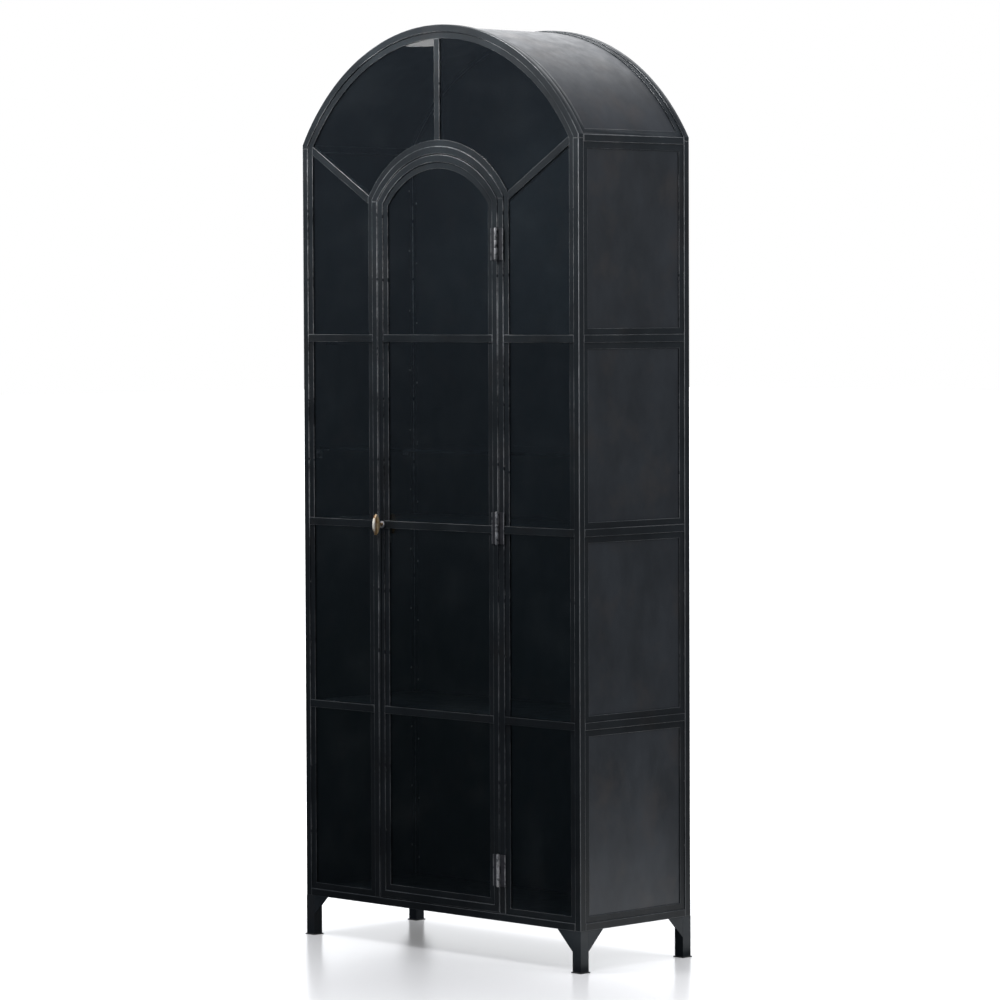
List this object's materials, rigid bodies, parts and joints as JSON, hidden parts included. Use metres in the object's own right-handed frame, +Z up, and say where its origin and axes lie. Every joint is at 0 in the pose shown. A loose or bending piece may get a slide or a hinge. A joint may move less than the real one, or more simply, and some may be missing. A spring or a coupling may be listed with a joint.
{
  "type": "tower display case",
  "caption": "Tall arched cabinet in black steel with a glazed front, one arched glass door on butt hinges, a brass turn knob, sheet sides and roof, shelves inside and short square legs.",
  "frame": {"origin": "on the floor, in the middle of the whole object's footprint", "axes": "+Z up, -Y is the front that the door faces, +X is the side that the door's hinges are on"},
  "size_m": [1.066, 0.461, 2.492],
  "materials": {
    "black_steel": "waxed black with worn edges",
    "black_sheet": "waxed black",
    "bright_steel": "worn bare steel",
    "foot_steel": "dull black",
    "brass": "aged brass",
    "pane_glass": "clear"
  },
  "bodies": {
    "case": {"post_front_left": "black_steel", "post_front_right": "black_steel", "post_rear_left": "black_steel", "post_rear_right": "black_steel", "front_arch": "black_steel", "rear_arch": "black_steel", "eave_rail_left": "black_steel", "eave_rail_right": "black_steel", "bottom_rail_front": "black_steel", "bottom_rail_rear": "black_steel", "bottom_rail_left": "black_steel", "bottom_rail_right": "black_steel", "mullion_left": "black_steel", "mullion_right": "black_steel", "doorway_arch": "black_steel", "crown_bar": "black_steel", "diagonal_bar_left": "black_steel", "diagonal_bar_right": "black_steel", "cross_bars_left": "black_steel", "cross_bars_right": "black_steel", "side_bars_left": "black_steel", "side_bars_right": "black_steel", "rear_bars": "black_steel", "leg_front_left": "black_steel", "leg_front_right": "black_steel", "leg_rear_left": "black_steel", "leg_rear_right": "black_steel", "leg_gussets": "black_steel", "foot_plates": "foot_steel", "front_strips": "black_steel", "side_strips": "black_steel", "back_strips": "black_steel", "roof_strips": "black_steel", "roof_sheet": "black_sheet", "side_sheet_left": "black_sheet", "side_sheet_right": "black_sheet", "back_sheet": "black_sheet", "floor_sheet": "black_sheet", "shelf_lower": "black_sheet", "shelf_middle": "black_sheet", "shelf_upper": "black_sheet", "shelf_cleats": "black_steel", "glass_shelf": "pane_glass", "glass_shelf_clips": "bright_steel", "arch_pane_left": "pane_glass", "arch_pane_right": "pane_glass", "panes_left": "pane_glass", "panes_right": "pane_glass", "case_beads": "black_steel", "door_stop": "black_steel", "hinge_frame_leaves": "bright_steel", "hinge_pins": "bright_steel"},
    "door": {"door_frame": "black_steel", "door_bars": "black_steel", "door_strips": "black_steel", "door_panes": "pane_glass", "door_beads": "black_steel", "hinge_door_leaves": "bright_steel"},
    "knob": {"turn_knob": "brass", "latch_tongue": "bright_steel"}
  },
  "joints": [
    {"name": "door_hinge", "type": "hinge", "parent": "case", "child": "door", "pos_m": [0.23125, -0.2005, 1.154], "axis": [0, 0, 1], "range_deg": [0, 170]},
    {"name": "knob_turn", "type": "hinge", "parent": "door", "child": "knob", "pos_m": [-0.215, -0.1945, 1.15], "axis": [0, 1, 0], "range_deg": [0, 90]}
  ]
}
